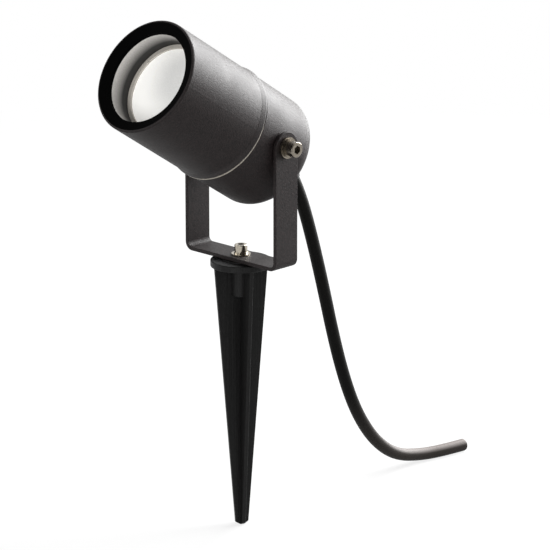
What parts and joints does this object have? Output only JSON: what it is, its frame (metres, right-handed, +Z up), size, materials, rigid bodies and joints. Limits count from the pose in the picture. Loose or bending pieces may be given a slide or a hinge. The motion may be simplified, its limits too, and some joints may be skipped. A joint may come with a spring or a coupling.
{
  "type": "garden spike spotlight",
  "caption": "Garden spotlight: a cylindrical sealed lamp head tilting in a U bracket that swivels on a ribbed ground spike, with its supply cable.",
  "frame": {"origin": "centre of the spike flange's underside, level with the soil", "axes": "+Z up along the spike, the lamp faces -Y, the tilt axis lies along X"},
  "size_m": [0.101, 0.3208, 0.3497],
  "materials": {
    "powder_coated_aluminium": "fine sand-textured anthracite powder coat on aluminium",
    "powder_coated_steel": "fine sand-textured anthracite powder coat on steel",
    "matt_black_ring": "matt black",
    "glare_tube_finish": "satin grey",
    "frosted_glass": "frosted, white lit from within",
    "grey_silicone": "matt silicone",
    "stainless_steel": "turned stainless steel",
    "black_spike_plastic": "satin moulded plastic",
    "black_nylon": "moulded nylon",
    "black_rubber": "satin rubber",
    "brown_insulation": "brown insulation",
    "blue_insulation": "blue insulation",
    "earth_insulation": "green and yellow insulation",
    "heatproof_lead": "braided glass fibre",
    "brass": "nickel-free brass",
    "white_ceramic": "unglazed white ceramic",
    "white_terminal_plastic": "white nylon",
    "lamp_plastic": "white moulded plastic",
    "milky_cover": "milky polycarbonate"
  },
  "bodies": {
    "stake": {"ground_spike": "black_spike_plastic", "spike_nut": "stainless_steel", "base_screw": "stainless_steel", "base_spring_washer": "stainless_steel", "base_washer": "stainless_steel"},
    "bracket": {"u_bracket": "powder_coated_steel"},
    "head": {"rear_housing": "powder_coated_aluminium", "housing_o_ring": "black_rubber", "joint_gasket": "grey_silicone", "pivot_spacers": "black_nylon", "pivot_washers": "stainless_steel", "pivot_spring_washers": "stainless_steel", "pivot_screws": "stainless_steel", "gland_body": "black_nylon", "gland_seal": "black_rubber", "gland_cap": "black_nylon", "strain_relief": "black_rubber", "cable_held_end": "black_rubber", "mains_cable": "black_rubber", "live_wire": "brown_insulation", "neutral_wire": "blue_insulation", "earth_wire": "earth_insulation", "earth_tag": "brass", "earth_screw": "stainless_steel", "terminal_block": "white_terminal_plastic", "terminal_screws": "brass", "lamp_leads": "heatproof_lead", "holder_plate": "stainless_steel", "holder_screws": "stainless_steel", "lamp_holder": "white_ceramic", "lamp_body": "lamp_plastic", "lamp_diffuser": "milky_cover", "lamp_pins": "brass"},
    "sleeve": {"front_sleeve": "powder_coated_aluminium", "front_ring": "matt_black_ring", "glare_tube": "glare_tube_finish", "lens_gasket": "grey_silicone", "lens_glass": "frosted_glass"}
  },
  "joints": [
    {"name": "bracket_pan", "type": "hinge", "parent": "stake", "child": "bracket", "pos_m": [0, 0, 0.00505], "axis": [0, 0, 1], "range_deg": [-180, 180]},
    {"name": "head_tilt", "type": "hinge", "parent": "bracket", "child": "head", "pos_m": [0, 0, 0.08605], "axis": [1, 0, 0], "range_deg": [-42.5, 62.5], "deforming": ["mains_cable"]},
    {"name": "sleeve_unscrew", "type": "slide", "parent": "head", "child": "sleeve", "axis": [0, -0.8434, 0.5373], "range_m": [0, 0.02]}
  ]
}
